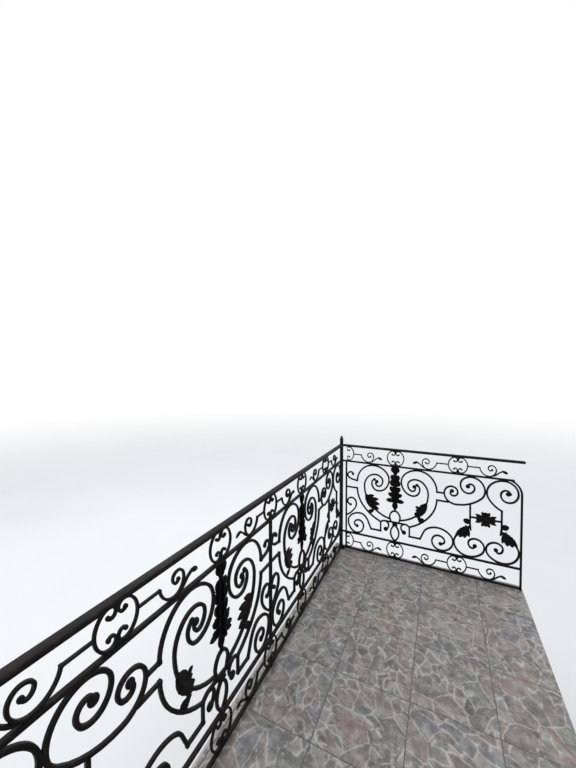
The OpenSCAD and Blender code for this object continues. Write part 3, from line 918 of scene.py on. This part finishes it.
def frieze_curl(metal, x, ring_x, lo):
    side = -1 if ring_x > x else 1

    def put(strand):
        right = [(x + a, lo + b, d) for a, b, d in strand]
        return right if side > 0 else across(right, x)

    end_x, end_y, _ = bend(metal, FRIEZE_BAR, put(CURL))
    snub(metal, end_x, end_y, 8.4, 16)
    bend(metal, FRIEZE_BAR, put(TAIL))
    at_ring = x + side * (RING_RADIUS - abs(ring_x - x))
    draw_out(metal, FRIEZE_BAR, (at_ring, lo + STEP_UP), (x - side * STEP_OUT, lo + STEP_UP))
    elbow(metal, x - side * STEP_OUT, lo + STEP_UP, 9, 13)
    leaf_blade(metal, x + side * 102, lo + 50, -25 if side > 0 else 205, 46, 21, hollow=3.0, curl=4.0)


# %% [markdown]
# ### Cutting the band at the posts
#
# The first ring is centred on the middle post. On the front the band runs on through it, but on
# the sides it starts at the corner stile. So the band is sawn off at one of these two places.

# %%
TOP_BAND, LOW_BAND = (876, 1012), (22, 163)
MIDDLE, STILE = 0.0, 7.0


def flat_frieze(lo, hi, start):
    metal = new_bench()
    for x in (0, 458, 962):
        frieze_ring(metal, x, lo, hi)
    for x, ring_x in ((217, 0), (728, 962), (1193, 962)):
        frieze_curl(metal, x, ring_x, lo)
    faces_out(metal)
    saw_off(metal, (start * MM, 0, 0), (-1, 0, 0))
    flat = kept(metal, "half_frieze")
    print("half a band:", len(flat.polygons), "faces")
    return flat


# %% [markdown]
# ## Standing the work up
#
# A flat half is turned upright and set in its place. The left half of a section is the right
# half seen in a mirror, so its faces are turned back as well. On a side, the work starts a small
# gap behind the corner post.

# %%
UPRIGHT = Matrix.Rotation(math.pi / 2, 4, "X")
QUARTER_TURN = Matrix.Rotation(math.pi / 2, 4, "Z")
SIDE_GAP = 0.05


def on_front(n, s):
    return Matrix.Translation((n * section / 2, rail_plane, floor_top)) @ Matrix.Scale(s, 4, (1, 0, 0)) @ UPRIGHT


def on_side(s):
    return Matrix.Translation((s * corner_x, rail_plane + SIDE_GAP, floor_top)) @ QUARTER_TURN @ UPRIGHT


@on_own_bench
def stand_up(metal, flat, place):
    metal.from_mesh(flat)
    bmesh.ops.transform(metal, matrix=place, verts=metal.verts)
    if place.determinant() < 0:
        bmesh.ops.reverse_faces(metal, faces=metal.faces)


def fence(name, node, *halves):
    metal = new_bench()
    for flat, place in halves:
        stand_up(metal, flat, place)
    deliver(name, metal, node)


# %% [markdown]
# Four half panels stand on the front and one on each side, and the bands run above and below.

# %%
ENDS = (("left", -1), ("right", 1))
FOUR = ((-1, -1), (-1, 1), (1, -1), (1, 1))
for number, (n, s) in enumerate(FOUR, start=1):
    fence(f"scrollwork_front_{number}", f"front_panel_{number}", (FRONT_PANEL, on_front(n, s)))
for word, s in ENDS:
    fence(f"scrollwork_side_{word}", f"side_panel_{word}", (SIDE_PANEL, on_side(s)))
for band, (lo, hi) in (("top", TOP_BAND), ("bottom", LOW_BAND)):
    whole, cut = flat_frieze(lo, hi, MIDDLE), flat_frieze(lo, hi, STILE)
    for word, n in ENDS:
        fence(f"{band}_band_front_{word}", f"{band}_frieze_front_{word}",
              (whole, on_front(n, -1)), (whole, on_front(n, 1)))
        fence(f"{band}_band_side_{word}", f"{band}_frieze_side_{word}", (cut, on_side(n)))

# %% [markdown]
# ## Straight stock
#
# Rails, stiles and middle posts are plain bar, and the handrail is a flat bar with well rounded
# edges for the hand. Each is a block whose long edges are rounded; a cut along each flat keeps
# the rub on the corners alone. The construction model gives the place of every bar: its mesh is
# taken apart into separate solids, and each solid's box is measured.

# %%
@on_own_bench
def straight_stock(metal, lo, hi, corner):
    size = [b - a for a, b in zip(lo, hi)]
    long_way = size.index(max(size))
    edges = edges_of(block_between(metal, lo, hi))
    along = [e for e in edges if abs(e.verts[0].co[long_way] - e.verts[1].co[long_way]) > size[long_way] / 2]
    short = [e for e in edges if e not in along]
    bmesh.ops.subdivide_edges(metal, edges=short, cuts=1, use_grid_fill=True)
    rounded = round_off(metal, along, corner)
    rub = metal.verts.layers.float["rub"]
    for vert in rounded:
        vert[rub] = 1.0


def solid_boxes(name):
    """The box of each separate solid in a construction node."""
    metal = bmesh.new()
    metal.from_mesh(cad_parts[name].data)
    bmesh.ops.remove_doubles(metal, verts=metal.verts, dist=1e-5)
    todo = set(metal.verts)
    boxes = []
    while todo:
        stack, seen = [todo.pop()], []
        while stack:
            vert = stack.pop()
            seen.append(vert.co.copy())
            joined = {edge.other_vert(vert) for edge in vert.link_edges} & todo
            todo -= joined
            stack += joined
        boxes.append(([min(c[i] for c in seen) for i in range(3)], [max(c[i] for c in seen) for i in range(3)]))
    metal.free()
    return sorted(boxes)


# %% [markdown]
# ### The bent stile at the wall
#
# The stile beside the wall isn't cut off at the top: it is bent over in a quarter turn and welded
# under the upper rail. It is drawn up from its foot, swung over, and sawn off under the rail.

# %%
WALL_STILE_X, BEND_START, BEND_RADIUS, UNDER_RAIL = 1410, 757, 120, 862


def flat_stile():
    metal = new_bench()
    _, edges = lay_profile(metal, STILE_BAR, WALL_STILE_X, 0, 90)
    loop, edges = sort_out(bmesh.ops.extrude_edge_only(metal, edges=edges)["geom"])
    bmesh.ops.translate(metal, vec=(0, BEND_START * MM, 0), verts=loop)
    swing(metal, loop + edges, ((WALL_STILE_X - BEND_RADIUS) * MM, BEND_START * MM, 0), math.pi / 2, 14)
    saw_off(metal, (0, UNDER_RAIL * MM, 0), (0, 1, 0))
    return kept(faces_out(metal), "wall_stile")


WALL_STILE = flat_stile()
print("wall stile:", len(WALL_STILE.polygons), "faces")

# %% [markdown]
# ### Rails and stiles
#
# All solids of one construction node become one piece. A stile whose box is deeper than a bar
# is the bent one.

# %%
STOCK = {"upper_rail": "rail_upper", "lower_rail": "rail_lower", "bottom_rail": "rail_bottom",
         "mid_posts": "posts_middle", "front_stiles": "stiles_front", "side_stiles_left": "stiles_left",
         "side_stiles_right": "stiles_right", "handrail": "rail_hand"}
BAR_CORNER, HAND_CORNER, DEEPER_THAN_A_BAR = 0.0018, 0.0052, 0.03
for node, title in STOCK.items():
    metal = new_bench()
    for lo, hi in solid_boxes(node):
        if node.startswith("side_stiles") and hi[1] - lo[1] > DEEPER_THAN_A_BAR:
            stand_up(metal, WALL_STILE, on_side(-1 if lo[0] < 0 else 1))
        else:
            straight_stock(metal, lo, hi, HAND_CORNER if node == "handrail" else BAR_CORNER)
    deliver(title, faces_out(metal), node, sharp=50.0)

# %% [markdown]
# ## Turned and bolted parts
#
# A ball and its neck are one outline spun right round an axis. A bolt is a thin washer under a
# six-sided head with its edges broken; both are cylinders, laid along the bolt's own axis.

# %%
@on_own_bench
def turned(metal, x, y, outline):
    spindle = [metal.verts.new((x + r, y, z)) for r, z in outline]
    edges = [metal.edges.new(pair) for pair in zip(spindle, spindle[1:])]
    swing(metal, spindle + edges, (x, y, 0), 2 * math.pi, 24, closed=True)
    bmesh.ops.remove_doubles(metal, verts=metal.verts, dist=1e-6)


@on_own_bench
def bolt_head(metal, x, y, z, across_flats, height, axis=(0, 0, 1)):
    washer = 2
    place = Matrix.Translation((x, y, z)) @ Vector(axis).to_track_quat("Z", "Y").to_matrix().to_4x4()

    def disc(segments, low, high, thick, lift):
        return bmesh.ops.create_cone(metal, cap_ends=True, segments=segments, radius1=low * MM, radius2=high * MM,
                                     depth=thick * MM, matrix=place @ Matrix.Translation((0, 0, lift * MM)))["verts"]

    disc(24, across_flats * 0.95, across_flats * 0.90, washer, washer / 2)
    corner = across_flats / 2 / 0.866
    head = disc(6, corner, corner, height, washer + height / 2)
    round_off(metal, edges_of(head), 0.6 * MM, segments=1)


# %% [markdown]
# ## Main posts
#
# A main post is a square bar on a foot plate that is bolted to the floor, with a small cap plate
# and a ball on a short neck.

# %%
POST_HALF, POST_CORNER, POST_TOP = 0.014, 0.0024, floor_top + 1.092
FOOT_HALF, FOOT_TOP, BOLT_OUT = 0.033, floor_top + 0.006, 0.0238
CAP_HALF, CAP_LOW, CAP_HIGH = 0.017, POST_TOP - 0.012, POST_TOP - 0.007
BALL = 0.012
ball_outline = [(0, CAP_HIGH), (0.009, CAP_HIGH), (0.009, POST_TOP - 0.0055), (0.0072, POST_TOP - 0.004)]
for a in map(math.radians, range(-75, 90, 15)):
    ball_outline.append((BALL * math.cos(a), POST_TOP + BALL / 2 + BALL * math.sin(a)))
ball_outline.append((0, POST_TOP + BALL * 1.5))

for node, title in (("corner_post_left", "post_left"), ("centre_post", "post_centre"),
                    ("corner_post_right", "post_right")):
    lo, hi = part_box(node)
    x, y = (lo[0] + hi[0]) / 2, (lo[1] + hi[1]) / 2
    metal = new_bench()
    straight_stock(metal, (x - POST_HALF, y - POST_HALF, FOOT_TOP),
                   (x + POST_HALF, y + POST_HALF, CAP_LOW), POST_CORNER)
    for half, low, high in ((FOOT_HALF, floor_top, FOOT_TOP), (CAP_HALF, CAP_LOW, CAP_HIGH)):
        plate = block_between(metal, (x - half, y - half, low), (x + half, y + half, high))
        round_off(metal, edges_of(plate), 0.0012)
    turned(metal, x, y, ball_outline)
    for sx, sy in FOUR:
        bolt_head(metal, x + sx * BOLT_OUT, y + sy * BOLT_OUT, FOOT_TOP, 7, 4)
    deliver(title, faces_out(metal), node)

# %% [markdown]
# ## Tiled floor
#
# Tiles of 400 mm lie in a square grid with 4 mm joints, cut where they meet the edges. Each is a
# block with its upper edges rounded over by the glaze. Its print is a UV map of its own, turned
# by quarters and shifted at random, as a tiler picks tiles out of the box.

# %%
TILE_SIDE, JOINT, TILE_THICK, GLAZE_ROUND = 0.400, 0.004, 0.009, 0.0016
GRID_X, GRID_Y = -1.181, -0.724
SMALLEST_CUT = 0.01
bed_lo, bed_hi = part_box("tile_floor")


@on_own_bench
def lay_tile(metal, corner, lo, hi):
    print_map = metal.loops.layers.uv.new("print")
    block_between(metal, lo, hi)
    rims = [edge for edge in metal.edges if all(vert.co.z > lo[2] + 0.001 for vert in edge.verts)]
    round_off(metal, rims, GLAZE_ROUND)
    quarter = random.randrange(4) * math.pi / 2
    shift = (random.randrange(6) * 3.7, random.randrange(6) * 5.3)
    for face in metal.faces:
        for loop in face.loops:
            u = (loop.vert.co.x - corner[0]) / TILE_SIDE - 0.5
            v = (loop.vert.co.y - corner[1]) / TILE_SIDE - 0.5
            loop[print_map].uv = (u * math.cos(quarter) - v * math.sin(quarter) + shift[0],
                                  u * math.sin(quarter) + v * math.cos(quarter) + shift[1])


def lay_tiles():
    metal = new_bench()
    metal.loops.layers.uv.new("print")
    first_x = GRID_X - TILE_SIDE * math.ceil((GRID_X - bed_lo[0]) / TILE_SIDE)
    first_y = GRID_Y - TILE_SIDE * math.ceil((GRID_Y - bed_lo[1]) / TILE_SIDE)
    count = 0
    for i in range(int((bed_hi[0] - first_x) / TILE_SIDE) + 1):
        for j in range(int((bed_hi[1] - first_y) / TILE_SIDE) + 1):
            corner = (first_x + i * TILE_SIDE, first_y + j * TILE_SIDE)
            lo = [max(corner[k] + JOINT / 2, bed_lo[k]) for k in range(2)] + [bed_hi[2] - TILE_THICK]
            hi = [min(corner[k] + TILE_SIDE - JOINT / 2, bed_hi[k]) for k in range(2)] + [bed_hi[2]]
            if min(hi[0] - lo[0], hi[1] - lo[1]) >= SMALLEST_CUT:
                lay_tile(metal, corner, lo, hi)
                count += 1
    print("tiles laid:", count)
    return metal


deliver("floor_tiles", lay_tiles(), "tile_floor", finish=TILE, slot="floor_tile")

# %% [markdown]
# The tiles lie in a bed of grout that stays just below their face and just inside their edge.

# %%
BED_INSET, BED_DROP = 0.001, 0.0022
bed = bmesh.new()
block_between(bed, (bed_lo[0] + BED_INSET, bed_lo[1] + BED_INSET, bed_lo[2]),
              (bed_hi[0] - BED_INSET, bed_hi[1] - BED_INSET, bed_hi[2] - BED_DROP))
deliver("grout_bed", bed, finish=GROUT, slot="floor_tile")

# %% [markdown]
# ## Slab, nosing and brackets
#
# The slab, the nosing round its edge and the plates of the brackets are right as they are and
# only take their finish. The brackets get their anchor bolts, four to a wall plate.

# %%
BRACKETS = [f"bracket_{number}" for number in range(1, 6)]
for name in ["floor_slab", "slab_nosing"] + BRACKETS:
    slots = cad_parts[name].data.materials
    slots.clear()
    slots.append(IRON if name in BRACKETS else CONCRETE)

BOLT_ASIDE, BOLT_MIDDLE, BOLT_UP, PLATE_FACE = 0.0225, -0.3, 0.15, -0.014
metal = new_bench()
for name in BRACKETS:
    lo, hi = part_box(name)
    for sx, sz in FOUR:
        bolt_head(metal, (lo[0] + hi[0]) / 2 + sx * BOLT_ASIDE, PLATE_FACE, BOLT_MIDDLE + sz * BOLT_UP,
                  24, 10, axis=(0, -1, 0))
deliver("bracket_bolts", faces_out(metal))

# %% [markdown]
# ## Studio light
#
# Soft daylight comes from all round, and a broad lamp from the street side. Where the camera or
# a reflection looks past the work, the world is white.

# %%
def daylight():
    bpy.context.scene.view_settings.view_transform = "Standard"
    world = bpy.data.worlds.new("studio")
    world.use_nodes = True
    nodes = world.node_tree.nodes
    nodes.clear()
    soft = add(nodes, "Background", {"Color": (0.93, 0.96, 1.0, 1.0), "Strength": 0.92})
    white = add(nodes, "Background", {"Color": (1.0, 1.0, 1.0, 1.0)})
    path = add(nodes, "LightPath")
    seen = add(nodes, "Math", operation="MAXIMUM")
    wire(path.outputs["Is Camera Ray"], seen.inputs[0])
    wire(path.outputs["Is Glossy Ray"], seen.inputs[1])
    view = mix_shaders(seen.outputs["Value"], soft.outputs["Background"], white.outputs["Background"])
    wire(view, add(nodes, "OutputWorld").inputs["Surface"])
    bpy.context.scene.world = world


def broad_lamp(place, aim, size, watts):
    panel = bpy.data.lights.new("soft_key", "AREA")
    panel.shape = "RECTANGLE"
    panel.size, panel.size_y = size
    panel.energy = watts
    lamp = put_in_scene("soft_key", panel)
    lamp.location = place
    lamp.rotation_euler = (Vector(aim) - lamp.location).to_track_quat("-Z", "Y").to_euler()


daylight()
broad_lamp((-3.0, -5.5, 5.5), (-1.5, -0.8, 0.4), (7.0, 4.0), 150.0)
print("lit by", bpy.context.scene.world.name, "and soft_key")

# %% [markdown]
# ## Studio floor
#
# A pale floor lies well below the balcony and takes its shadow. Far off it fades to the white of
# the world for the camera alone, so that no horizon shows.

# %%
FLOOR_DROP, FLOOR_HALF, FADE_FROM, FADE_TO = 0.35, 60.0, 5.0, 26.0


def pale_floor():
    finish, nodes, shader = new_finish("studio_floor")
    place = own_place(nodes)
    tones = [(0.3, (0.82, 0.82, 0.82)), (0.7, (0.85, 0.85, 0.85))]
    wire(ramp(noise(place, 0.8, 4.0), tones), shader.inputs["Base Color"])
    shader.inputs["Roughness"].default_value = 0.9
    away = add(nodes, "VectorMath", operation="LENGTH")
    wire(place, away.inputs[0])
    fade = product(between(away.outputs["Value"], FADE_FROM, FADE_TO, 0.0, 1.0, "SMOOTHSTEP"),
                   add(nodes, "LightPath").outputs["Is Camera Ray"])
    glow = add(nodes, "Emission", {"Color": (1.0, 1.0, 1.0, 1.0)})
    floor_view = mix_shaders(fade, shader.outputs["BSDF"], glow.outputs["Emission"])
    wire(floor_view, nodes["Material Output"].inputs["Surface"])
    return finish


ground = bmesh.new()
bmesh.ops.create_grid(ground, x_segments=1, y_segments=1, size=FLOOR_HALF)
bmesh.ops.translate(ground, vec=(0, 0, cad_lo[2] - FLOOR_DROP), verts=ground.verts)
floor_mesh = kept(ground, "studio_floor")
floor_mesh.materials.append(pale_floor())
floor = put_in_scene("studio_floor", floor_mesh)
print("studio floor at", round(cad_lo[2] - FLOOR_DROP, 3))
